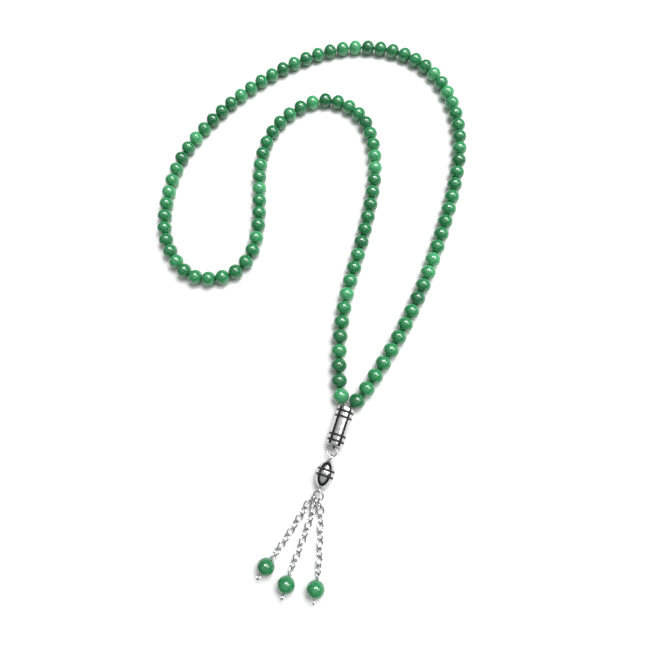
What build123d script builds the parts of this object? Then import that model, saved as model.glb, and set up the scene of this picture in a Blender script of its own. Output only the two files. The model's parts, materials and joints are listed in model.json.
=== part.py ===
from build123d import *
from math import atan2, cos, degrees, pi, radians, sin, sqrt, tan
import os

# Prayer beads lying on a table: 108 stone beads on a closed string, whose two ends pass through a
# steel imam bead, and below it a ring, a steel barrel bead and three short chains with a bead each.
# The table is z = 0, the imam bead's axis runs along Y, and the tassel points to -Y.
# The origin is on the table, under the middle of the whole object. Millimetres and degrees.

# Strand
bead_diameter = 8.0
bead_bore = 1.5
bead_bore_chamfer = 0.25
bead_count = 108
bead_pitch = 8.04
first_bead_at = 18.4
beads_per_node = 9
string_diameter = 0.8
route_corner_share = 0.45

# Imam bead: a steel tube with four rubber rings, bored in two steps for the string and its knot
imam_diameter = 8.5
imam_length = 20.5
imam_x = 61.7
imam_top_y = -65.6
imam_edge_round = 0.7
imam_string_bore = 2.9
imam_knot_bore = 4.0
imam_knot_bore_depth = 9.0
imam_ring_offsets = (7.65, 4.75, -4.75, -7.65)

# Rubber rings, the same on the imam bead and on the barrel bead
o_ring_outer_diameter = 9.1
o_ring_section = 1.0
o_ring_groove_width = 1.1
o_ring_grip = 0.02

# Knot and the loop of string below it, which holds the bail ring
knot_diameter = 3.6
knot_length = 4.6
string_ends_apart = 1.2
string_tie_diameter = 0.7
knot_below_shoulder = 1.5
string_past_imam_top = 0.3
string_end_in_knot = 0.7
tie_end_in_knot = 1.5

# Round wire rings
ring_wire = 0.8
ring_cut = 0.12
bail_radius = 2.4
bail_below_imam = 0.5
bail_cut_angle = 160
jump_ring_radius = 2.45
jump_ring_slope = 22.0
jump_ring_cut_angle = 150

# Barrel bead on its wire pin, which has an eye at each end
barrel_diameter = 8.8
barrel_length = 13.4
barrel_end_diameter = 3.0
barrel_ring_offsets = (1.95, -0.95)
barrel_pin_wire = 0.8
barrel_eye_radius = 1.3
barrel_lower_eye_radius = 1.1
barrel_upper_eye_roll = 55.0
barrel_lower_eye_roll = 90.0
pin_clearance = 0.05

# Chains of oval links, nine on each, and the wire pins of the three tail beads
link_wire = 0.75
link_width = 4.2
link_pitch = 3.78
link_end_radius = 1.35
link_count = 9
first_link_play = 0.2
link_tilts = (70, -30, 50, -42, 45, -45, 45, -45, 45)
contact_heights = (2.2, 1.72, 1.68, 1.66, 1.66, 1.66, 1.7, 2.05, 2.75)
tail_pin_wire = 0.7
tail_eye_width = 2.8
tail_eye_end_radius = 0.9
tail_loop_width = 2.6
tail_loop_length = 2.9
eye_to_bead = 0.15

# Free play between two wires that hang in each other
wire_play = 0.06

# Each chain: where it sits on the jump ring, its first heading, its headings from the second link to
# the last, the pin's heading, how far the bead's middle is past the chain's end, and the rolls of
# the pin's eye and end loop. A heading is turned from -Y towards +X.
chains = {
    "left": dict(
        ring_angle=-75, first=-30, start=-14, end=-17, pin=-17, reach=6.6, eye_roll=-30, loop_roll=20
    ),
    "middle": dict(
        ring_angle=-30, first=8, start=-1, end=-4, pin=1, reach=7.9, eye_roll=-45, loop_roll=55
    ),
    "right": dict(
        ring_angle=25, first=30, start=18, end=15, pin=10, reach=6.8, eye_roll=-65, loop_roll=80
    ),
}

axis_height = o_ring_outer_diameter / 2
bead_height = bead_diameter / 2
imam_bottom_y = imam_top_y - imam_length
imam_middle_y = imam_top_y - imam_length / 2
knot_shoulder_y = imam_bottom_y + imam_knot_bore_depth
knot_middle_y = knot_shoulder_y - knot_below_shoulder
string_end_y = knot_middle_y + string_end_in_knot

# The tassel, from the imam bead down, along Y
bail_top_y = imam_bottom_y - bail_below_imam
upper_eye_end_y = bail_top_y - 2 * bail_radius + ring_wire / 2 + barrel_pin_wire / 2 + wire_play
upper_eye_y = upper_eye_end_y - barrel_eye_radius
barrel_top_y = upper_eye_y - barrel_eye_radius - barrel_pin_wire / 2 - eye_to_bead
barrel_middle_y = barrel_top_y - barrel_length / 2
barrel_bottom_y = barrel_top_y - barrel_length
lower_eye_y = barrel_bottom_y - eye_to_bead - barrel_pin_wire / 2 - barrel_lower_eye_radius
shank_top_y = upper_eye_y - barrel_eye_radius
shank_bottom_y = lower_eye_y + barrel_lower_eye_radius
shank_middle_y = (shank_top_y + shank_bottom_y) / 2
shank_length = shank_top_y - shank_bottom_y
jump_ring_top_y = lower_eye_y - barrel_lower_eye_radius + (ring_wire + barrel_pin_wire) / 2 + wire_play
jump_ring_fall = (0, -cos(radians(jump_ring_slope)), -sin(radians(jump_ring_slope)))
jump_ring_middle = Vector(imam_x, jump_ring_top_y, axis_height) + Vector(*jump_ring_fall) * jump_ring_radius

# The string's route: out of the knot, up the imam bead's bore, round the loop and back.
bore_left = imam_x - string_ends_apart / 2
bore_right = imam_x + string_ends_apart / 2
route_on_table = [
    (56.8, -61.3),
    (52.7, -50.9),
    (46.7, -31.4),
    (42.5, -6.9),
    (41.7, 20.1),
    (39.9, 45.1),
    (36.2, 69.1),
    (30.1, 87.1),
    (19.4, 104.1),
    (5.9, 111.9),
    (-9.6, 113.3),
    (-22.1, 104.6),
    (-31.1, 91.6),
    (-34.9, 75.1),
    (-32.7, 57.1),
    (-26.3, 40.1),
    (-19.6, 21.6),
    (-16.3, 4.1),
    (-20.1, -10.9),
    (-31.6, -18.7),
    (-46.1, -21.4),
    (-59.1, -14.3),
    (-70.9, -2.7),
    (-77.9, 13.6),
    (-82.5, 35.6),
    (-82.3, 55.1),
    (-76.7, 74.1),
    (-68.1, 94.1),
    (-56.1, 113.6),
    (-42.1, 130.1),
    (-26.6, 143.6),
    (-8.6, 153.6),
    (10.4, 157.9),
    (30.4, 156.5),
    (48.4, 148.1),
    (62.4, 134.1),
    (72.9, 116.1),
    (79.5, 94.6),
    (82.3, 67.1),
    (82.5, 37.1),
    (81.1, 7.1),
    (76.7, -22.9),
    (70.7, -46.9),
    (66.4, -61.3),
]
string_exit_y = imam_top_y + string_past_imam_top
route = (
    [(bore_left, string_end_y, axis_height), (bore_left, string_exit_y, axis_height)]
    + [(x, y, bead_height) for x, y in route_on_table]
    + [(bore_right, string_exit_y, axis_height), (bore_right, string_end_y, axis_height)]
)


def corner_radii(points):
    """The radius of the arc at each corner of a route, as large as its two runs allow."""
    radii = []
    for before, corner, after in zip(points, points[1:], points[2:]):
        run_in = Vector(*corner) - Vector(*before)
        run_out = Vector(*after) - Vector(*corner)
        half_turn = radians(run_in.get_angle(run_out)) / 2
        radii.append(route_corner_share * min(run_in.length, run_out.length) / tan(half_turn))
    return radii


def save(piece, name):
    piece.part.label = name
    export_step(piece.part, f"parts/{name}.step")


def along(place, direction, roll=0.0):
    """A plane at a place, its X along a direction and its Z up, then rolled about that X."""
    travel = Vector(*direction).normalized()
    up = (Vector(0, 0, 1) - travel * travel.Z).normalized()
    side = travel.cross(up)
    normal = up * cos(radians(roll)) + side * sin(radians(roll))
    return Plane(place, x_dir=travel, z_dir=normal)


def oval_loop(half_length, half_width, end_radius, wire):
    """A closed loop of round wire in the XY plane, long along X: four arcs, two sharp and two flat."""
    end_x = half_length - end_radius
    side_radius = (end_x**2 + half_width**2 - end_radius**2) / (2 * (half_width - end_radius))
    side_y = side_radius - half_width
    meet = degrees(atan2(side_y, end_x))
    with BuildPart() as loop:
        with BuildLine():
            CenterArc((0, -side_y), side_radius, 90, 90 - meet)
            CenterArc((-end_x, 0), end_radius, 180 - meet, 2 * meet)
            CenterArc((0, side_y), side_radius, 180 + meet, 180 - 2 * meet)
            CenterArc((end_x, 0), end_radius, -meet, 2 * meet)
            CenterArc((0, -side_y), side_radius, meet, 90 - meet)
        with BuildSketch(Plane.YZ):
            with Locations((half_width, 0)):
                Circle(wire / 2)
        sweep()
    return loop.part


def drilled_bead(bore):
    """A round bead, drilled along Z, with the rims of its hole broken."""
    with BuildPart() as bead:
        Sphere(bead_diameter / 2)
        Hole(bore / 2)
        chamfer(bead.edges().filter_by(GeomType.CIRCLE), bead_bore_chamfer)
    return bead.part


def wire_ring(plane, radius, cut_angle):
    """A ring of round wire in a plane, cut through once, as a jump ring is."""
    with BuildPart(plane) as ring:
        Torus(radius, ring_wire / 2)
        with PolarLocations(radius, 1, start_angle=cut_angle):
            Box(2 * ring_wire, ring_cut, 2 * ring_wire, mode=Mode.SUBTRACT)
    return ring


def rubber_ring(centre):
    """A rubber ring round an axis along Y."""
    with BuildPart(Plane(centre, z_dir=(0, 1, 0))) as ring:
        Torus((o_ring_outer_diameter - o_ring_section) / 2, o_ring_section / 2)
    return ring


os.makedirs("parts", exist_ok=True)

# String
radii = corner_radii(route)
print("string corner radii:", [round(r, 1) for r in radii])
with BuildPart() as string:
    with BuildLine() as string_line:
        FilletPolyline(*route, radius=radii)
    with BuildSketch(Plane(string_line.wire() @ 0, z_dir=string_line.wire() % 0)):
        Circle(string_diameter / 2)
    sweep()
string_path = string_line.wire()
string_section = pi * string_diameter**2 / 4
print("string length:", round(string_path.length, 1))
print("string volume:", round(string.part.volume, 2))
print("its section times its length:", round(string_path.length * string_section, 2))
save(string, "string")

# Strand beads, each next to the one before it. A bead's bore is straight, so where the string bends,
# the bead sits half way between the string and its chord.
def on_string(distance):
    return string_path.position_at(distance, position_mode=PositionMode.LENGTH)


def bead_plane(distance):
    behind = on_string(distance - bead_diameter / 2)
    ahead = on_string(distance + bead_diameter / 2)
    middle = (behind + ahead) / 4 + on_string(distance) / 2
    return Plane(middle, z_dir=ahead - behind)


bead_planes = [bead_plane(first_bead_at)]
bead_at = first_bead_at
for index in range(bead_count - 1):
    bead_at += bead_pitch
    for settling in range(3):
        gap = (bead_plane(bead_at).origin - bead_planes[-1].origin).length
        bead_at += bead_pitch - gap
    bead_planes.append(bead_plane(bead_at))
print("string before the first bead and after the last:", first_bead_at, string_path.length - bead_at)
bead_places = [plane.location for plane in bead_planes]
strand_bead = drilled_bead(bead_bore)
for first in range(0, bead_count, beads_per_node):
    with BuildPart() as strand_beads:
        with Locations(*bead_places[first : first + beads_per_node]):
            add(strand_bead)
    save(strand_beads, f"strand_beads_{first // beads_per_node + 1:02d}")

# Imam bead: half its section, turned about its axis
imam_middle = Vector(imam_x, imam_middle_y, axis_height)
groove_floor = o_ring_outer_diameter / 2 - o_ring_section + o_ring_grip
with BuildPart() as imam_bead:
    with BuildSketch(Plane(imam_middle)) as imam_section:
        with Locations((imam_diameter / 4, 0)):
            Rectangle(imam_diameter / 2, imam_length)
        fillet(imam_section.vertices().group_by(Axis.X)[-1], imam_edge_round)
        with Locations(*[(groove_floor, offset) for offset in imam_ring_offsets]):
            Rectangle(imam_diameter, o_ring_groove_width, align=(Align.MIN, Align.CENTER), mode=Mode.SUBTRACT)
        Rectangle(imam_string_bore, imam_length, mode=Mode.SUBTRACT)
        with Locations((0, -imam_length / 2)):
            Rectangle(
                imam_knot_bore,
                imam_knot_bore_depth,
                align=(Align.CENTER, Align.MIN),
                mode=Mode.SUBTRACT,
            )
    revolve(axis=Axis(imam_middle, (0, 1, 0)))
save(imam_bead, "imam_bead")
for index, offset in enumerate(imam_ring_offsets, 1):
    save(rubber_ring(imam_middle + Vector(0, offset, 0)), f"imam_o_ring_{index}")

# Knot of the string, drawn up against the step in the imam bead's bore
with BuildPart() as knot:
    with BuildSketch(Plane((imam_x, knot_middle_y, axis_height))):
        Ellipse(knot_diameter / 2, knot_length / 2)
        with Locations((-knot_diameter / 2, 0)):
            Rectangle(knot_diameter, knot_length, mode=Mode.SUBTRACT)
    revolve(axis=Axis((imam_x, knot_middle_y, axis_height), (0, 1, 0)))
save(knot, "knot")

# Loop of string below the knot, round the bail ring's wire
tie_plane = Plane((imam_x, bail_top_y, axis_height), x_dir=(0, -1, 0), z_dir=(1, 0, 0))
tie_radius = (ring_wire + string_tie_diameter + wire_play) / 2
tie_leg = knot_middle_y - tie_end_in_knot - bail_top_y
with BuildPart() as string_tie:
    with BuildLine(tie_plane):
        Line((-tie_leg, tie_radius), (0, tie_radius))
        CenterArc((0, 0), tie_radius, 90, -180)
        Line((0, -tie_radius), (-tie_leg, -tie_radius))
    with BuildSketch(Plane(tie_plane.from_local_coords((-tie_leg, tie_radius)), z_dir=(0, -1, 0))):
        Circle(string_tie_diameter / 2)
    sweep()
save(string_tie, "string_tie")

# Bail ring
bail_ring = wire_ring(Plane((imam_x, bail_top_y - bail_radius, axis_height)), bail_radius, bail_cut_angle)
save(bail_ring, "bail_ring")

# Barrel bead, its rubber rings and its pin
barrel_middle = Vector(imam_x, barrel_middle_y, axis_height)
barrel_half_ellipse = (barrel_length / 2) / sqrt(1 - (barrel_end_diameter / barrel_diameter) ** 2)
with BuildPart() as barrel_bead:
    with BuildSketch(Plane(barrel_middle)):
        Ellipse(barrel_diameter / 2, barrel_half_ellipse)
        Rectangle(barrel_diameter, barrel_length, align=(Align.MIN, Align.CENTER), mode=Mode.INTERSECT)
        with Locations(*[(groove_floor, offset) for offset in barrel_ring_offsets]):
            Rectangle(barrel_diameter, o_ring_groove_width, align=(Align.MIN, Align.CENTER), mode=Mode.SUBTRACT)
        Rectangle(barrel_pin_wire + 2 * pin_clearance, barrel_length, mode=Mode.SUBTRACT)
    revolve(axis=Axis(barrel_middle, (0, 1, 0)))
save(barrel_bead, "barrel_bead")
for index, offset in enumerate(barrel_ring_offsets, 1):
    save(rubber_ring(barrel_middle + Vector(0, offset, 0)), f"barrel_o_ring_{index}")

towards_tail = (0, -1, 0)
with BuildPart() as barrel_pin:
    with Locations(along((imam_x, upper_eye_y, axis_height), towards_tail, barrel_upper_eye_roll)):
        Torus(barrel_eye_radius, barrel_pin_wire / 2)
    with Locations(along((imam_x, lower_eye_y, axis_height), towards_tail, barrel_lower_eye_roll)):
        Torus(barrel_lower_eye_radius, barrel_pin_wire / 2)
    with Locations(Plane((imam_x, shank_middle_y, axis_height), z_dir=towards_tail)):
        Cylinder(barrel_pin_wire / 2, shank_length)
save(barrel_pin, "barrel_pin")

# Jump ring
jump_plane = along(jump_ring_middle, jump_ring_fall)
jump_ring = wire_ring(jump_plane, jump_ring_radius, jump_ring_cut_angle)
save(jump_ring, "jump_ring")

# Chains, each with its pin and tail bead
link_half_length = (link_pitch + link_wire + wire_play) / 2
chain_link = oval_loop(link_half_length, (link_width - link_wire) / 2, link_end_radius, link_wire)
tail_bead = drilled_bead(tail_pin_wire + 2 * pin_clearance)
hang_radius = jump_ring_radius - (ring_wire + wire_play) / 2 - first_link_play
hinge_points = {}
tail_beads = {}
for side, chain in chains.items():
    hinge_points[side] = []
    angle = radians(chain["ring_angle"])
    here = jump_plane.from_local_coords((hang_radius * cos(angle), hang_radius * sin(angle), 0))
    headings = [chain["first"]]
    for index in range(link_count - 1):
        share = index / (link_count - 2)
        headings.append(chain["start"] + share * (chain["end"] - chain["start"]))
    for index, (heading, height, tilt) in enumerate(zip(headings, contact_heights, link_tilts), 1):
        drop = height - here.Z
        level = sqrt(link_pitch**2 - drop**2)
        step = Vector(level * sin(radians(heading)), -level * cos(radians(heading)), drop)
        with BuildPart(along(here + step / 2, step, tilt)) as link:
            add(chain_link)
        save(link, f"{side}_link_{index}")
        hinge_points[side].append(here)
        here = here + step
    hinge_points[side].append(here)

    rise = bead_height - here.Z
    level = sqrt(chain["reach"] ** 2 - rise**2)
    heading = radians(chain["pin"])
    reach = Vector(level * sin(heading), -level * cos(heading), rise)
    bead_middle = here + reach
    pin_direction = reach.normalized()
    tail_beads[side] = (bead_middle, pin_direction)
    eye_end = chain["reach"] + (link_wire + wire_play) / 2
    eye_start = bead_diameter / 2 + eye_to_bead + tail_pin_wire / 2
    loop_end = eye_start + tail_loop_length - tail_pin_wire
    tail_eye = oval_loop(
        (eye_end - eye_start) / 2, (tail_eye_width - tail_pin_wire) / 2, tail_eye_end_radius, tail_pin_wire
    )
    tail_loop = oval_loop(
        (loop_end - eye_start) / 2, (tail_loop_width - tail_pin_wire) / 2, tail_eye_end_radius, tail_pin_wire
    )
    eye_middle = bead_middle - pin_direction * (eye_end + eye_start) / 2
    loop_middle = bead_middle + pin_direction * (loop_end + eye_start) / 2
    with BuildPart() as tail_pin:
        with Locations(along(eye_middle, pin_direction, chain["eye_roll"])):
            add(tail_eye)
        with Locations(along(loop_middle, pin_direction, chain["loop_roll"])):
            add(tail_loop)
        with Locations(Plane(bead_middle, z_dir=pin_direction)):
            Cylinder(tail_pin_wire / 2, 2 * eye_start)
    save(tail_pin, f"{side}_tail_pin")
    with BuildPart(Plane(bead_middle, z_dir=pin_direction)) as tail_bead_placed:
        add(tail_bead)
    save(tail_bead_placed, f"{side}_tail_bead")
    print(side, "chain hinges:", [tuple(round(value, 3) for value in point) for point in hinge_points[side]])
    print(side, "bead middle and its pin's direction:", tail_beads[side])
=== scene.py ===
import json
from math import asin, atan2, cos, degrees, pi, radians, sin, sqrt

import bmesh
import bpy
import numpy as np
from mathutils import Matrix, Vector


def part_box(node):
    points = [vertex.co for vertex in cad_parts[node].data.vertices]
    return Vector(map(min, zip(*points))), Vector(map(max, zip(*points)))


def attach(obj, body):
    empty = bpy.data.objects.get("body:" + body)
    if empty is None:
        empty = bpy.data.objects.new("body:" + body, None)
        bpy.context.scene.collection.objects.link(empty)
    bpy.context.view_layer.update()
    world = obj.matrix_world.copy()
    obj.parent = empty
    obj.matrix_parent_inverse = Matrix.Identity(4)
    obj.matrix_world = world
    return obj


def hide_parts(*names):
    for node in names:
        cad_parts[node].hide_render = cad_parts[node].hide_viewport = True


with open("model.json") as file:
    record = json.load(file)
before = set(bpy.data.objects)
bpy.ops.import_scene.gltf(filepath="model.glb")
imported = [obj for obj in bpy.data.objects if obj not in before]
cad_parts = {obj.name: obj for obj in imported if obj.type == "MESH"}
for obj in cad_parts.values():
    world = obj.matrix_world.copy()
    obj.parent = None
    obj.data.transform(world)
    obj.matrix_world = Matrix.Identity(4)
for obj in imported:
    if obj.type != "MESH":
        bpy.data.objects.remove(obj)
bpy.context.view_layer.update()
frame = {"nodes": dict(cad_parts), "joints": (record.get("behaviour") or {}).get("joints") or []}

MM = 0.001

# Beads and string, in millimetres
BEAD_WIDTH = 8.5
BEAD_LENGTH = 7.98
BEAD_BORE = 1.5
TAIL_BEAD_DIAMETER = 8.5
TAIL_BEAD_BORE = 0.8
CAD_BEAD_DIAMETER = 8.0
BORE_ROUND = 0.25
STRING_DIAMETER = 0.8
STRING_HEIGHT = 4.0
STRING_ENDS_APART = 1.2
STRING_PAST_IMAM_TOP = 0.3
STRING_END_IN_KNOT = 0.7
KNOT_BELOW_SHOULDER = 1.5

# Steel and rubber, in millimetres, with angles in degrees
RING_WIRE = 0.8
BAIL_RADIUS = 2.4
BAIL_CUT = 160
RING_HALF_GAP = 1.6
JUMP_RING_RADIUS = 2.45
JUMP_RING_SLOPE = 22.0
JUMP_RING_CUT = 150
IMAM_DIAMETER = 8.5
IMAM_ROUND = 0.7
IMAM_BORE_CHAMFER = 0.15
IMAM_STRING_BORE = 2.9
IMAM_KNOT_BORE = 4.0
IMAM_KNOT_BORE_DEPTH = 9.0
IMAM_RING_OFFSETS = (7.65, 4.75, -4.75, -7.65)
BARREL_DIAMETER = 8.8
BARREL_END_DIAMETER = 3.0
BARREL_END_ROUND = 0.12
BARREL_RING_OFFSETS = (1.95, -0.95)
BARREL_BORE = 0.9
BARREL_EYE_RADII = (1.3, 1.1)
BARREL_EYE_ROLLS = (55, 90)
BARREL_SHANK_FROM_EYE = 0.5
EYE_OPENING = 24
GROOVE_WIDTH = 1.1
GROOVE_LIP = 0.05
GROOVE_PLAY = 0.02
O_RING_SECTION = 1.0
O_RING_OUTER_DIAMETER = 9.1
LINK_WIRE = 0.75
LINK_WIDTH = 4.2
LINK_END_RADIUS = 1.35
LINK_TILTS = (70, -30, 50, -42, 45, -45, 45, -45, 45)
TAIL_PIN_WIRE = 0.7
TAIL_EYE_WIDTH = 2.8
TAIL_LOOP_WIDTH = 2.6
TAIL_LOOP_LENGTH = 2.9
TAIL_EYE_END_RADIUS = 0.9
TAIL_ROLLS = {"left": (-30, 20), "middle": (-45, 55), "right": (-65, 80)}
EYE_TO_BEAD = 0.15
TAIL_SHANK_FROM_EYE = 0.35
TAIL_TONES = {"left": 0.35, "middle": 0.5, "right": 0.55}
WIRE_PLAY = 0.06
WIRE_END_ROUND = 0.35

# Beads that stand out from the green of the rest, counted along the string
DARK_BEADS = (2, 3, 12, 22, 26, 57, 61, 68, 75, 89, 100)
LIGHT_BEADS = (8, 18, 27, 36, 54, 59, 74, 81, 83, 97)

# Camera: where it is, in millimetres, and how it looks down
CAMERA_PLACE = (99.1, -109.0, 298.9)
CAMERA_YAW = 37.45
CAMERA_DEPRESSION = 70.4
CAMERA_ROLL = -20.0
CAMERA_LENS = 32.4

ROUTE_ON_TABLE = [
    (56.8, -61.3),
    (52.7, -50.9),
    (46.7, -31.4),
    (42.5, -6.9),
    (41.7, 20.1),
    (39.9, 45.1),
    (36.2, 69.1),
    (30.1, 87.1),
    (19.4, 104.1),
    (5.9, 111.9),
    (-9.6, 113.3),
    (-22.1, 104.6),
    (-31.1, 91.6),
    (-34.9, 75.1),
    (-32.7, 57.1),
    (-26.3, 40.1),
    (-19.6, 21.6),
    (-16.3, 4.1),
    (-20.1, -10.9),
    (-31.6, -18.7),
    (-46.1, -21.4),
    (-59.1, -14.3),
    (-70.9, -2.7),
    (-77.9, 13.6),
    (-82.5, 35.6),
    (-82.3, 55.1),
    (-76.7, 74.1),
    (-68.1, 94.1),
    (-56.1, 113.6),
    (-42.1, 130.1),
    (-26.6, 143.6),
    (-8.6, 153.6),
    (10.4, 157.9),
    (30.4, 156.5),
    (48.4, 148.1),
    (62.4, 134.1),
    (72.9, 116.1),
    (79.5, 94.6),
    (82.3, 67.1),
    (82.5, 37.1),
    (81.1, 7.1),
    (76.7, -22.9),
    (70.7, -46.9),
    (66.4, -61.3),
]


def middle(node):
    low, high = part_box(node)
    return (Vector(low) + Vector(high)) / 2


def joint(name):
    return next(found for found in frame["joints"] if found["name"] == name)


def joint_place(name):
    return Vector(joint(name)["pos_m"])


# Camera -----------------------------------------------------------------------------------------
def make_camera():
    yaw, depression, roll = (radians(v) for v in (CAMERA_YAW, CAMERA_DEPRESSION, CAMERA_ROLL))
    level = Vector((cos(yaw), sin(yaw), 0))
    ahead = Vector((-sin(yaw) * cos(depression), cos(yaw) * cos(depression), -sin(depression)))
    below = ahead.cross(level)
    right = level * cos(roll) - below * sin(roll)
    down = level * sin(roll) + below * cos(roll)
    camera = bpy.data.objects.new("camera", bpy.data.cameras.new("camera"))
    bpy.context.collection.objects.link(camera)
    turn = Matrix((right, -down, -ahead)).transposed()
    camera.matrix_world = Matrix.Translation(Vector(CAMERA_PLACE) * MM) @ turn.to_4x4()
    camera.data.sensor_width = 36
    camera.data.lens = CAMERA_LENS
    camera.data.clip_start = 0.01
    bpy.context.scene.camera = camera
    return right, down


image_right, image_down = make_camera()


# String -----------------------------------------------------------------------------------------
def spline_points(points):
    """Points on the smooth NURBS spline that has these control points."""
    curve = bpy.data.curves.new("spline", "CURVE")
    curve.dimensions = "3D"
    spline = curve.splines.new("NURBS")
    spline.points.add(len(points) - 1)
    for point, place in zip(spline.points, points):
        point.co = (*place, 1)
    spline.order_u = 3
    spline.use_endpoint_u = True
    spline.resolution_u = 16
    holder = bpy.data.objects.new("spline", curve)
    bpy.context.collection.objects.link(holder)
    graph = bpy.context.evaluated_depsgraph_get()
    mesh = bpy.data.meshes.new_from_object(holder.evaluated_get(graph))
    places = [vertex.co.copy() for vertex in mesh.vertices]
    bpy.data.objects.remove(holder)
    bpy.data.meshes.remove(mesh)
    return places


def string_route():
    """The string's points, from the knot up the imam bead, round the loop and back, in metres."""
    low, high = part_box("imam_bead")
    axis_x, axis_z = middle("imam_bead").x, middle("imam_bead").z
    top = high[1] + STRING_PAST_IMAM_TOP * MM
    end = low[1] + (IMAM_KNOT_BORE_DEPTH - KNOT_BELOW_SHOULDER + STRING_END_IN_KNOT) * MM
    left, right = axis_x - STRING_ENDS_APART / 2 * MM, axis_x + STRING_ENDS_APART / 2 * MM
    loop = [Vector((x * MM, y * MM, STRING_HEIGHT * MM)) for x, y in ROUTE_ON_TABLE]
    start = [Vector((left, end, axis_z)), Vector((left, top, axis_z))]
    return start + loop + [Vector((right, top, axis_z)), Vector((right, end, axis_z))]


route = string_route()
string_line = spline_points(route)


# Materials --------------------------------------------------------------------------------------
class Nodes:
    """A node material, built up from its parts."""

    def __init__(self, name):
        self.material = bpy.data.materials.new(name)
        self.material.use_nodes = True
        self.tree = self.material.node_tree
        self.shader = self.tree.nodes["Principled BSDF"]
        self.object_place = self.add("ShaderNodeTexCoord").outputs["Object"]

    def add(self, kind, **values):
        node = self.tree.nodes.new(kind)
        for key, value in values.items():
            setattr(node, key, value)
        return node

    def link(self, source, target):
        self.tree.links.new(source, target)

    def noise(self, scale, detail, roughness=0.5, distortion=0.0, place=None):
        node = self.add("ShaderNodeTexNoise")
        node.inputs["Scale"].default_value = scale
        node.inputs["Detail"].default_value = detail
        node.inputs["Roughness"].default_value = roughness
        node.inputs["Distortion"].default_value = distortion
        self.link(place or self.object_place, node.inputs["Vector"])
        return node.outputs["Fac"]

    def ramp(self, source, stops):
        node = self.add("ShaderNodeValToRGB")
        elements = node.color_ramp.elements
        while len(elements) < len(stops):
            elements.new(0.5)
        for element, (place, colour) in zip(elements, stops):
            element.position = place
            element.color = (*colour, 1)
        self.link(source, node.inputs["Fac"])
        return node.outputs["Color"]

    def mix(self, factor, first, second, blend="MIX"):
        node = self.add("ShaderNodeMix", data_type="RGBA", blend_type=blend)
        for value, socket in ((factor, node.inputs[0]), (first, node.inputs[6]), (second, node.inputs[7])):
            if isinstance(value, bpy.types.NodeSocket):
                self.link(value, socket)
            elif isinstance(value, tuple):
                socket.default_value = (*value, 1)
            else:
                socket.default_value = value
        return node.outputs[2]

    def span(self, source, low, high):
        node = self.add("ShaderNodeMapRange")
        node.inputs["To Min"].default_value = low
        node.inputs["To Max"].default_value = high
        self.link(source, node.inputs["Value"])
        return node.outputs["Result"]

    def bump(self, height, distance, strength):
        node = self.add("ShaderNodeBump")
        node.inputs["Distance"].default_value = distance
        node.inputs["Strength"].default_value = strength
        self.link(height, node.inputs["Height"])
        self.link(node.outputs["Normal"], self.shader.inputs["Normal"])

    def attribute(self, name):
        return self.add("ShaderNodeAttribute", attribute_name=name)


def grey(value):
    return (value, value, value)


def stone_material():
    """Polished green stone: each bead has its own tone and its own cloudy veins."""
    made = Nodes("green_stone")
    tone = made.attribute("tone").outputs["Fac"]
    grain = made.attribute("grain").outputs["Vector"]
    body = made.ramp(
        tone,
        [(0.0, (0.004, 0.085, 0.028)), (0.5, (0.016, 0.20, 0.070)), (1.0, (0.085, 0.40, 0.18))],
    )
    clouds = made.noise(1.6, 5, 0.62, 0.8, grain)
    cloudy = made.mix(made.span(clouds, 0.0, 0.45), body, (0.11, 0.45, 0.21))
    veins = made.noise(3.2, 6, 0.7, 2.2, grain)
    dark = made.ramp(veins, [(0.30, grey(0.42)), (0.52, grey(1.0))])
    colour = made.mix(0.75, cloudy, dark, "MULTIPLY")
    made.link(colour, made.shader.inputs["Base Color"])
    made.link(made.span(made.noise(9.0, 4, 0.6, 0.0, grain), 0.10, 0.17), made.shader.inputs["Roughness"])
    made.shader.inputs["IOR"].default_value = 1.54
    made.shader.inputs["Subsurface Weight"].default_value = 0.85
    made.shader.inputs["Subsurface Radius"].default_value = (0.35, 1.0, 0.45)
    made.shader.inputs["Subsurface Scale"].default_value = 0.004
    made.shader.inputs["Coat Weight"].default_value = 0.3
    made.shader.inputs["Coat Roughness"].default_value = 0.03
    made.bump(made.noise(14.0, 3, 0.5, 0.0, grain), 0.00001, 0.4)
    return made.material


def steel_material(name, tool_axis=None):
    """Polished steel, with fine polishing lines round the axis that it was turned on."""
    made = Nodes(name)
    place = made.object_place
    if tool_axis is not None:
        stretch = made.add("ShaderNodeMapping")
        stretch.inputs["Scale"].default_value = tuple(30 if axis == tool_axis else 1 for axis in "XYZ")
        made.link(place, stretch.inputs["Vector"])
        place = stretch.outputs["Vector"]
    lines = made.noise(700, 5, 0.6, 0.0, place)
    haze = made.noise(420, 3, 0.5)
    colour = made.ramp(haze, [(0.3, (0.50, 0.50, 0.51)), (0.7, grey(0.62))])
    made.link(colour, made.shader.inputs["Base Color"])
    made.shader.inputs["Metallic"].default_value = 1.0
    made.link(made.span(lines, 0.07, 0.2), made.shader.inputs["Roughness"])
    made.bump(lines, 0.000004, 0.35)
    return made.material


def rubber_material():
    made = Nodes("black_rubber")
    dust = made.noise(900, 4, 0.6)
    colour = made.ramp(dust, [(0.35, grey(0.006)), (0.75, grey(0.022))])
    made.link(colour, made.shader.inputs["Base Color"])
    made.link(made.span(made.noise(500, 3), 0.32, 0.5), made.shader.inputs["Roughness"])
    made.bump(made.noise(2600, 4), 0.00001, 0.5)
    return made.material


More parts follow.
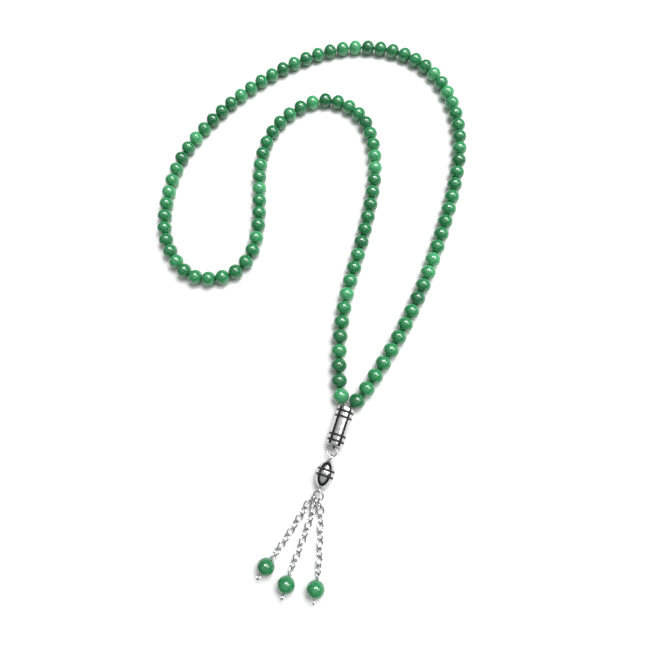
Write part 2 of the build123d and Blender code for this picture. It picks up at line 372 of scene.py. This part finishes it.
def cord_material():
    """Dark cord: fine twisted filaments."""
    made = Nodes("dark_cord")
    twist = made.add("ShaderNodeTexWave", wave_type="BANDS", bands_direction="DIAGONAL")
    twist.inputs["Scale"].default_value = 1400
    twist.inputs["Distortion"].default_value = 1.5
    twist.inputs["Detail"].default_value = 2
    made.link(made.object_place, twist.inputs["Vector"])
    colour = made.ramp(twist.outputs["Fac"], [(0.0, (0.006, 0.018, 0.009)), (1.0, (0.03, 0.075, 0.04))])
    made.link(colour, made.shader.inputs["Base Color"])
    made.link(made.span(made.noise(1800, 3), 0.55, 0.8), made.shader.inputs["Roughness"])
    made.shader.inputs["Sheen Weight"].default_value = 0.25
    made.bump(twist.outputs["Fac"], 0.00006, 0.7)
    return made.material


stone = stone_material()
steel_turned = steel_material("turned_steel", "Y")
steel_wire = steel_material("steel_wire")
rubber = rubber_material()
cord = cord_material()


# Shapes -----------------------------------------------------------------------------------------
def mesh_piece(name, points, faces, material, node, body):
    mesh = bpy.data.meshes.new(name)
    mesh.from_pydata([tuple(p) for p in points], [], faces)
    mesh.polygons.foreach_set("use_smooth", [True] * len(faces))
    mesh.materials.append(material)
    piece = bpy.data.objects.new(name, mesh)
    bpy.context.collection.objects.link(piece)
    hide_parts(node)
    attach(piece, body)
    return piece


def lathe(outline, steps):
    """A closed outline of (distance along the axis, radius), turned about Z into points and faces."""
    angles = [2 * pi * step / steps for step in range(steps)]
    points = [Vector((r * cos(a), r * sin(a), z)) for z, r in outline for a in angles]
    rows = len(outline)
    faces = []
    for row in range(rows):
        for step in range(steps):
            next_row, next_step = (row + 1) % rows, (step + 1) % steps
            a, b = row * steps + step, row * steps + next_step
            faces.append((a, b, next_row * steps + next_step, next_row * steps + step))
    return points, faces


def arc(centre, radius, start, end, steps):
    """Points on an arc in the plane, its angles in degrees."""
    turns = (radians(start + (end - start) * step / steps) for step in range(steps + 1))
    return [(centre[0] + radius * cos(turn), centre[1] + radius * sin(turn)) for turn in turns]


def standing(place, axis):
    """The matrix that takes Z to an axis at a place."""
    return Matrix.Translation(place) @ Vector(axis).to_track_quat("Z", "Y").to_matrix().to_4x4()


def along(place, direction, roll=0.0):
    """The matrix with X along a direction and Z up, then rolled about that X."""
    travel = Vector(direction).normalized()
    up = (Vector((0, 0, 1)) - travel * travel.z).normalized()
    side = travel.cross(up)
    normal = up * cos(radians(roll)) + side * sin(radians(roll))
    turn = Matrix((travel, normal.cross(travel), normal)).transposed()
    return Matrix.Translation(place) @ turn.to_4x4()


def tube(path, radius, closed, sides=16):
    """Round wire along a path of points, its section carried along without twist."""
    count = len(path)
    tangents = []
    for index in range(count):
        if closed:
            tangents.append((path[(index + 1) % count] - path[index - 1]).normalized())
        else:
            tangents.append((path[min(index + 1, count - 1)] - path[max(index - 1, 0)]).normalized())
    side = tangents[0].orthogonal().normalized()
    sections = []
    for place, tangent in zip(path, tangents):
        side = (side - tangent * side.dot(tangent)).normalized()
        sections.append((place, tangent, side, tangent.cross(side), 1))
    if not closed:
        sections = rounded_ends(sections, radius)
    points = []
    for place, _, side, other, scale in sections:
        size = radius * scale
        for step in range(sides):
            turn = 2 * pi * step / sides
            points.append(place + side * size * cos(turn) + other * size * sin(turn))
    rows = len(sections)
    faces = []
    for row in range(rows if closed else rows - 1):
        for step in range(sides):
            a, b = row * sides + step, row * sides + (step + 1) % sides
            next_row = (row + 1) % rows
            faces.append((a, b, next_row * sides + (step + 1) % sides, next_row * sides + step))
    if not closed:
        faces.append(tuple(range(sides))[::-1])
        faces.append(tuple((rows - 1) * sides + step for step in range(sides)))
    return points, faces


def rounded_ends(sections, radius):
    """Wire ends that were cut and tumbled: the first and last few sections draw in."""
    edge = WIRE_END_ROUND * radius
    turns = (90, 60, 30, 0)

    def drawn_in(section, inward, turn):
        place, tangent, side, other, _ = section
        shift = inward * edge * (1 - sin(radians(turn)))
        scale = 1 - WIRE_END_ROUND * (1 - cos(radians(turn)))
        return place + tangent * shift, tangent, side, other, scale

    first = [drawn_in(sections[0], 1, turn) for turn in turns]
    last = [drawn_in(sections[-1], -1, turn) for turn in reversed(turns)]
    return first + sections[1:-1] + last


def smooth_path(path, passes):
    """An open path with its corners rounded off."""
    for _ in range(passes):
        cut = [path[0]]
        for a, b in zip(path, path[1:]):
            cut += [a * 0.75 + b * 0.25, a * 0.25 + b * 0.75]
        path = cut + [path[-1]]
    return path


def oval(half_length, half_width, end_radius, steps=10):
    """The middle line of an oval loop, long along X: four arcs, two sharp and two flat."""
    end_x = half_length - end_radius
    side_radius = (end_x**2 + half_width**2 - end_radius**2) / (2 * (half_width - end_radius))
    side_y = side_radius - half_width
    meet = degrees(atan2(side_y, end_x))
    line = arc((end_x, 0), end_radius, -meet, meet, steps)[:-1]
    line += arc((0, -side_y), side_radius, meet, 180 - meet, steps)[:-1]
    line += arc((-end_x, 0), end_radius, 180 - meet, 180 + meet, steps)[:-1]
    line += arc((0, side_y), side_radius, 180 + meet, 360 - meet, steps)[:-1]
    return [Vector((x, y, 0)) for x, y in line]


def put(matrix, points):
    return [matrix @ point for point in points]


def scaled(points):
    return [point * MM for point in points]


# String on its line -----------------------------------------------------------------------------
def make_string():
    points, faces = tube(string_line, STRING_DIAMETER / 2 * MM, False, 12)
    piece = mesh_piece("cord", points, faces, cord, "string", "strand")


make_string()


# Beads ------------------------------------------------------------------------------------------
# The bore's rounded rim: how deep each step lies, in millimetres, and its share of the rounding
RIM_STEPS = ((0.03, 0.45), (0.1, 0.12), (0.25, 0))

# A group of joined faces is a bead if it measures more than this share of one
BEAD_SIZED = 0.8

# Each stone's turn about its bore, in radians, and where its own veins lie
TURN_PER_BEAD = 2.4
TURN_PER_MM = 9
VEIN_SCALE = 250
VEINS_APART = 1000


def bead_outline(width, length, bore):
    """Half a drilled bead's section: its round side, a rounded rim, the bore and the other rim."""
    hole = bore / 2
    start = degrees(asin((hole + BORE_ROUND) / (width / 2)))
    side = [(x * length / 2, y * width / 2) for x, y in arc((0, 0), 1, start, 180 - start, 22)]
    rim = side[0][0]
    steps = [(rim - depth, hole + share * BORE_ROUND) for depth, share in RIM_STEPS]
    return side + [(-x, y) for x, y in steps] + [(0, hole)] + steps[::-1]


def bead_centres(node):
    """The middles of a node's beads: the round faces are its islands as large as a bead."""
    mesh = frame["nodes"][node].data
    joined = bmesh.new()
    joined.from_mesh(mesh)
    seen, centres = set(), []
    for vertex in joined.verts:
        if vertex in seen:
            continue
        island, waiting = [], [vertex]
        seen.add(vertex)
        while waiting:
            here = waiting.pop()
            island.append(here.co.copy())
            for edge in here.link_edges:
                other = edge.other_vert(here)
                if other not in seen:
                    seen.add(other)
                    waiting.append(other)
        low = Vector([min(p[axis] for p in island) for axis in range(3)])
        high = Vector([max(p[axis] for p in island) for axis in range(3)])
        if min(high - low) > BEAD_SIZED * BEAD_LENGTH * MM:
            centres.append((low + high) / 2)
    joined.free()
    return centres


def strung(nodes, start):
    """Every bead's middle in the order in which they are strung, node by node."""
    here, groups = start, []
    for node in nodes:
        left, group = bead_centres(node), []
        while left:
            here = min(left, key=lambda centre: (centre - here).length)
            left.remove(here)
            group.append(here)
        groups.append(group)
    return groups


def stones(name, node, body, beads, section):
    """A piece of one or more drilled stones. beads gives each one's middle, bore axis and tone."""
    outline, rings = lathe(section, 40)
    outline = scaled(outline)
    widest = max(point.x for point in outline)
    points, faces, tones, grains = [], [], [], []
    for number, (place, axis, tone) in enumerate(beads):
        spin = Matrix.Rotation(TURN_PER_BEAD * number + TURN_PER_MM * place.x / MM, 4, "Z")
        resting = Vector((place.x, place.y, max(place.z, widest)))
        matrix = standing(resting, axis) @ spin
        first = len(points)
        points += put(matrix, outline)
        faces += [tuple(first + corner for corner in face) for face in rings]
        tones += [tone] * len(outline)
        own = Vector((place.x, place.y, number * MM)) * VEINS_APART
        grains += [point * VEIN_SCALE + own for point in outline]
    piece = mesh_piece(name, points, faces, stone, node, body)
    attribute = piece.data.attributes.new("tone", "FLOAT", "POINT")
    attribute.data.foreach_set("value", tones)
    attribute = piece.data.attributes.new("grain", "FLOAT_VECTOR", "POINT")
    attribute.data.foreach_set("vector", [value for point in grains for value in point])


def bead_tone(number, random):
    """How light a bead is, from 0 to 1. numbers start at 1, from the imam bead."""
    tone = 0.5 + 0.13 * random.standard_normal()
    if number in DARK_BEADS:
        tone = 0.1 + 0.05 * random.random()
    if number in LIGHT_BEADS:
        tone = 0.86 + 0.1 * random.random()
    return float(np.clip(tone, 0.05, 0.95))


def make_strand():
    nodes = sorted(name for name in frame["nodes"] if name.startswith("strand_beads"))
    imam_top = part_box("imam_bead")[1][1]
    beside_left = middle("imam_bead").x - CAD_BEAD_DIAMETER / 2 * MM
    groups = strung(nodes, Vector((beside_left, imam_top, STRING_HEIGHT * MM)))
    line = [centre for group in groups for centre in group]
    section = bead_outline(BEAD_WIDTH, BEAD_LENGTH, BEAD_BORE)
    random = np.random.default_rng(108)
    number = 0
    for node, group in zip(nodes, groups):
        beads = []
        for centre in group:
            before, after = line[max(number - 1, 0)], line[min(number + 1, len(line) - 1)]
            beads.append((centre, after - before, bead_tone(number + 1, random)))
            number += 1
        stones(node.replace("strand_beads", "stones"), node, "strand", beads, section)


def tail_stone(side, tone):
    spin = joint(f"{side}_tail_bead_spin")
    beads = [(Vector(spin["pos_m"]), Vector(spin["axis"]), tone)]
    section = bead_outline(TAIL_BEAD_DIAMETER, TAIL_BEAD_DIAMETER, TAIL_BEAD_BORE)
    stones(f"{side}_tail_stone", f"{side}_tail_bead", f"{side}_tail_bead", beads, section)


make_strand()
for side, tone in TAIL_TONES.items():
    tail_stone(side, tone)


# Turned steel and its rubber rings --------------------------------------------------------------
ROUND_STEPS = 96
SHARP_ANGLE = 35


def groove(offset, radius):
    """Points of a ring's groove in an outline that runs towards smaller distances."""
    floor = O_RING_OUTER_DIAMETER / 2 - O_RING_SECTION + GROOVE_PLAY
    half = GROOVE_WIDTH / 2
    lip = GROOVE_LIP
    return [
        (offset + half + lip, radius(offset + half)),
        (offset + half, radius(offset + half) - lip),
        (offset + half, floor),
        (offset - half, floor),
        (offset - half, radius(offset - half) - lip),
        (offset - half - lip, radius(offset - half)),
    ]


def imam_outline(length):
    half, radius, edge = length / 2, IMAM_DIAMETER / 2, IMAM_ROUND
    knot_top = -half + IMAM_KNOT_BORE_DEPTH
    bore, wide = IMAM_STRING_BORE / 2, IMAM_KNOT_BORE / 2
    chamfer = IMAM_BORE_CHAMFER
    outline = [(half - chamfer, bore), (half, bore + chamfer)]
    outline += arc((half - edge, radius - edge), edge, 0, 90, 8)
    for offset in IMAM_RING_OFFSETS:
        outline += groove(offset, lambda _: radius)
    outline += arc((-half + edge, radius - edge), edge, 90, 180, 8)
    return outline + [(-half, wide + chamfer), (-half + chamfer, wide), (knot_top, wide), (knot_top, bore)]


def barrel_outline(length):
    half, radius = length / 2, BARREL_DIAMETER / 2
    long = half / sqrt(1 - (BARREL_END_DIAMETER / BARREL_DIAMETER) ** 2)
    edge = BARREL_END_ROUND

    def width(distance):
        return radius * sqrt(1 - (distance / long) ** 2)

    def stretch(start, end, steps):
        places = (start + (end - start) * step / steps for step in range(steps + 1))
        return [(place, width(place)) for place in places]

    upper, lower = BARREL_RING_OFFSETS
    reach = GROOVE_WIDTH / 2 + 2 * GROOVE_LIP
    bore = BARREL_BORE / 2
    outline = [(half, bore), (half, width(half) - edge)]
    outline += stretch(half - edge, upper + reach, 20) + groove(upper, width)
    outline += stretch(upper - reach, lower + reach, 4) + groove(lower, width)
    outline += stretch(lower - reach, -half + edge, 24)
    return outline + [(-half, width(half) - edge), (-half, bore)]


def turned(name, node, body, outline):
    points, faces = lathe(outline, ROUND_STEPS)
    matrix = standing(middle(node), (0, 1, 0))
    piece = mesh_piece(name, put(matrix, scaled(points)), faces, steel_turned, node, body)
    sharpen(piece)


def sharpen(piece):
    """Keeps the edges of steps and grooves crisp."""
    shape = bmesh.new()
    shape.from_mesh(piece.data)
    bmesh.ops.recalc_face_normals(shape, faces=shape.faces)
    for edge in shape.edges:
        edge.smooth = edge.calc_face_angle(0) < radians(SHARP_ANGLE)
    shape.to_mesh(piece.data)
    shape.free()


def length_along_y(node):
    low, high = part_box(node)
    return (high[1] - low[1]) / MM


turned("imam_tube", "imam_bead", "strand", imam_outline(length_along_y("imam_bead")))
turned("barrel_body", "barrel_bead", "barrel", barrel_outline(length_along_y("barrel_bead")))


def circle(steps):
    """The angles of equal steps round a circle."""
    return [2 * pi * step / steps for step in range(steps)]


def rubber_ring(node, body):
    low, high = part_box(node)
    section = high[1] - low[1]
    radius = (high[0] - low[0]) / 2 - section / 2
    path = [Vector((radius * cos(turn), radius * sin(turn), 0)) for turn in circle(ROUND_STEPS)]
    points, faces = tube(path, section / 2, True, 20)
    points = put(standing(middle(node), (0, 1, 0)), points)
    mesh_piece(f"{node}_rubber", points, faces, rubber, node, body)


for number in range(1, 5):
    rubber_ring(f"imam_o_ring_{number}", "strand")
for number in (1, 2):
    rubber_ring(f"barrel_o_ring_{number}", "barrel")


# Wire -------------------------------------------------------------------------------------------
def wire_piece(name, path, wire, closed, node, body):
    points, faces = tube(scaled(path), wire / 2 * MM, closed)
    piece = mesh_piece(name, points, faces, steel_wire, node, body)
    sharpen(piece)


def open_ring(matrix, radius, cut):
    """A jump ring's middle line, with the narrow gap where it was cut."""
    gap = RING_HALF_GAP
    turns = (radians(cut + gap + (360 - 2 * gap) * step / 72) for step in range(73))
    return put(matrix, [Vector((radius * cos(turn), radius * sin(turn), 0)) for turn in turns])


def in_mm(vector):
    return vector / MM


bail = Matrix.Translation(in_mm(middle("bail_ring")))
bail_line = open_ring(bail, BAIL_RADIUS, BAIL_CUT)
wire_piece("bail_wire", bail_line, RING_WIRE, False, "bail_ring", "bail")

slope = radians(JUMP_RING_SLOPE)
jump = along(in_mm(middle("jump_ring")), (0, -cos(slope), -sin(slope)))
jump_line = open_ring(jump, JUMP_RING_RADIUS, JUMP_RING_CUT)
wire_piece("jump_ring_wire", jump_line, RING_WIRE, False, "jump_ring", "jump_ring")


def eye(matrix, radius, towards):
    """A turned eye's middle line, from its cut end to the shank, which is 1 or -1 along X."""
    turns = (radians(EYE_OPENING + (360 - EYE_OPENING) * step / 48) for step in range(49))
    line = [Vector((towards * radius * cos(turn), radius * sin(turn), 0)) for turn in turns]
    return put(matrix, line[:-3])


def barrel_pin():
    low, high = (in_mm(Vector(corner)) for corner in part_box("barrel_pin"))
    place = in_mm(middle("barrel_pin"))
    wire = RING_WIRE / 2
    top_radius, bottom_radius = BARREL_EYE_RADII
    top_roll, bottom_roll = BARREL_EYE_ROLLS
    upper = along((place.x, high.y - wire - top_radius, place.z), (0, -1, 0), top_roll)
    lower = along((place.x, low.y + wire + bottom_radius, place.z), (0, -1, 0), bottom_roll)
    shank_top = upper @ Vector((top_radius + BARREL_SHANK_FROM_EYE, 0, 0))
    shank_bottom = lower @ Vector((-bottom_radius - BARREL_SHANK_FROM_EYE, 0, 0))
    run = [shank_top.lerp(shank_bottom, step / 12) for step in range(13)]
    return smooth_path(eye(upper, top_radius, 1) + run + eye(lower, bottom_radius, -1)[::-1], 2)


wire_piece("barrel_pin_wire", barrel_pin(), RING_WIRE, False, "barrel_pin", "barrel_pin")


def chain_link(side, number):
    """A link reaches past its own hinge and the next one, by half a wire and half the play."""
    start = in_mm(joint_place(f"{side}_link_{number}_hinge"))
    following = f"{side}_link_{number + 1}_hinge" if number < len(LINK_TILTS) else f"{side}_tail_pin_hinge"
    end = in_mm(joint_place(following))
    pitch = (end - start).length
    matrix = along((start + end) / 2, end - start, LINK_TILTS[number - 1])
    half_length = (pitch + LINK_WIRE + WIRE_PLAY) / 2
    return put(matrix, oval(half_length, (LINK_WIDTH - LINK_WIRE) / 2, LINK_END_RADIUS))


def tail_pin(side):
    spin = joint(f"{side}_tail_bead_spin")
    bead, axis = in_mm(Vector(spin["pos_m"])), Vector(spin["axis"]).normalized()
    reach = (bead - in_mm(joint_place(f"{side}_tail_pin_hinge"))).length
    eye_end = reach + (LINK_WIRE + WIRE_PLAY) / 2
    eye_start = CAD_BEAD_DIAMETER / 2 + EYE_TO_BEAD + TAIL_PIN_WIRE / 2
    loop_end = eye_start + TAIL_LOOP_LENGTH - TAIL_PIN_WIRE
    eye_roll, loop_roll = TAIL_ROLLS[side]
    upper = oval_end(bead, -axis, eye_start, eye_end, TAIL_EYE_WIDTH, -eye_roll)
    lower = oval_end(bead, axis, eye_start, loop_end, TAIL_LOOP_WIDTH, loop_roll)
    shank = axis * (eye_start - TAIL_SHANK_FROM_EYE)
    run = [bead + shank * share for share in (-1, -0.6, -0.2, 0.2, 0.6, 1)]
    return smooth_path(upper + run + lower[::-1], 2)


def oval_end(bead, axis, start, end, width, roll):
    """A pin's long eye, from its cut end beside the shank, round its far end and back to the shank."""
    line = oval((end - start) / 2, (width - TAIL_PIN_WIRE) / 2, TAIL_EYE_END_RADIUS, 8)
    matrix = along(bead + axis * (start + end) / 2, axis, roll)
    count = len(line)
    near = min(range(count), key=lambda index: line[index].x)
    turned_line = line[near:] + line[:near]
    return put(matrix, turned_line[2:-1])


for side in TAIL_ROLLS:
    for number in range(1, len(LINK_TILTS) + 1):
        name = f"{side}_link_{number}"
        wire_piece(f"{name}_wire", chain_link(side, number), LINK_WIRE, True, name, name)
    pin = f"{side}_tail_pin"
    wire_piece(f"{side}_pin_wire", tail_pin(side), TAIL_PIN_WIRE, False, pin, pin)


# Knot and tie -----------------------------------------------------------------------------------
# How far the knot's strands pass over each other, as a share of its half height
KNOT_RISE = 0.7


def knot():
    """A closed overhand knot, inside the imam bead."""
    low, high = (in_mm(Vector(corner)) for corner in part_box("knot"))
    wire = STRING_DIAMETER / 2
    centre = (low + high) / 2
    reach = (high - low) / 2 - Vector((wire, wire, wire))
    path = []
    for turn in circle(ROUND_STEPS):
        across = (sin(turn) + 2 * sin(2 * turn)) / 3
        down = (cos(turn) - 2 * cos(2 * turn)) / 3
        over = -KNOT_RISE * sin(3 * turn)
        path.append(centre + Vector((reach.x * across, reach.y * down, reach.z * over)))
    points, faces = tube(scaled(path), wire * MM, True, 12)
    mesh_piece("string_knot", points, faces, cord, "knot", "strand")


def string_tie():
    """The loop of string below the knot: down, half a turn round the bail ring, and up."""
    low, high = (in_mm(Vector(corner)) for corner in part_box("string_tie"))
    radius = (high.x - low.x) / 2
    x, z = (low.x + high.x) / 2, (low.z + high.z) / 2
    arm = (high.z - low.z) / 2 - radius
    bottom = low.y + radius + arm
    line = [Vector((x, high.y - step * (high.y - bottom) / 16, z + arm)) for step in range(16)]
    half_turn = [pi * step / 24 for step in range(25)]
    line += [Vector((x, bottom - arm * sin(turn), z + arm * cos(turn))) for turn in half_turn]
    line += [Vector((x, bottom + step * (high.y - bottom) / 16, z - arm)) for step in range(1, 17)]
    points, faces = tube(scaled(line), radius * MM, False, 14)
    mesh_piece("tie_loop", points, faces, cord, "string_tie", "strand")


knot()
string_tie()


# Floor and light --------------------------------------------------------------------------------
# In metres: the place that every light looks at
LIGHT_AIM = (0.02, 0.0, 0.0)


def make_floor():
    made = Nodes("white_table")
    colour = made.ramp(made.noise(3.0, 2), [(0.3, grey(0.93)), (0.7, grey(0.95))])
    made.link(colour, made.shader.inputs["Base Color"])
    made.shader.inputs["Roughness"].default_value = 0.6
    made.shader.inputs["Specular IOR Level"].default_value = 0.2
    bpy.ops.mesh.primitive_plane_add(size=6, location=(0, 0, 0))
    floor = bpy.context.object
    floor.name = "table"
    floor.data.materials.append(made.material)


def area_light(name, direction, distance, size, power):
    """A soft box that looks at the beads from a direction."""
    light = bpy.data.lights.new(name, "AREA")
    light.shape = "RECTANGLE"
    light.size, light.size_y = size
    light.energy = power
    lamp = bpy.data.objects.new(name, light)
    bpy.context.collection.objects.link(lamp)
    back = Vector(direction).normalized()
    lamp.location = Vector(LIGHT_AIM) + back * distance
    lamp.rotation_mode = "QUATERNION"
    lamp.rotation_quaternion = (-back).to_track_quat("-Z", "Y")
    return lamp


make_floor()
up = Vector((0, 0, 1))
area_light("key", up * 0.9 - image_down * 0.4 + image_right * 0.35, 1.3, (0.7, 0.7), 16)
area_light("side", up * 0.9 + image_right * 0.75, 1.5, (0.5, 1.0), 8)
# The strip only makes the narrow highlights, so it casts no light and no shadow on matt surfaces.
strip = area_light("strip", up * 0.9 - image_down * 0.36 - image_right * 0.05, 1.5, (0.16, 0.5), 9)
strip.visible_diffuse = False


def make_world():
    """A studio that is dark round the horizon and bright overhead."""
    world = bpy.data.worlds.new("studio")
    world.use_nodes = True
    tree = world.node_tree
    height = tree.nodes.new("ShaderNodeSeparateXYZ")
    ramp = tree.nodes.new("ShaderNodeValToRGB")
    place = tree.nodes.new("ShaderNodeTexCoord")
    tree.links.new(place.outputs["Generated"], height.inputs["Vector"])
    tree.links.new(height.outputs["Z"], ramp.inputs["Fac"])
    tree.links.new(ramp.outputs["Color"], tree.nodes["Background"].inputs["Color"])
    horizon, overhead = ramp.color_ramp.elements
    horizon.position = 0.5
    horizon.color = (*grey(0.03), 1)
    overhead.position = 0.8
    overhead.color = (*grey(1), 1)
    tree.nodes["Background"].inputs["Strength"].default_value = 0.62
    bpy.context.scene.world = world


make_world()
bpy.context.scene.view_settings.view_transform = "Standard"

bpy.context.view_layer.update()
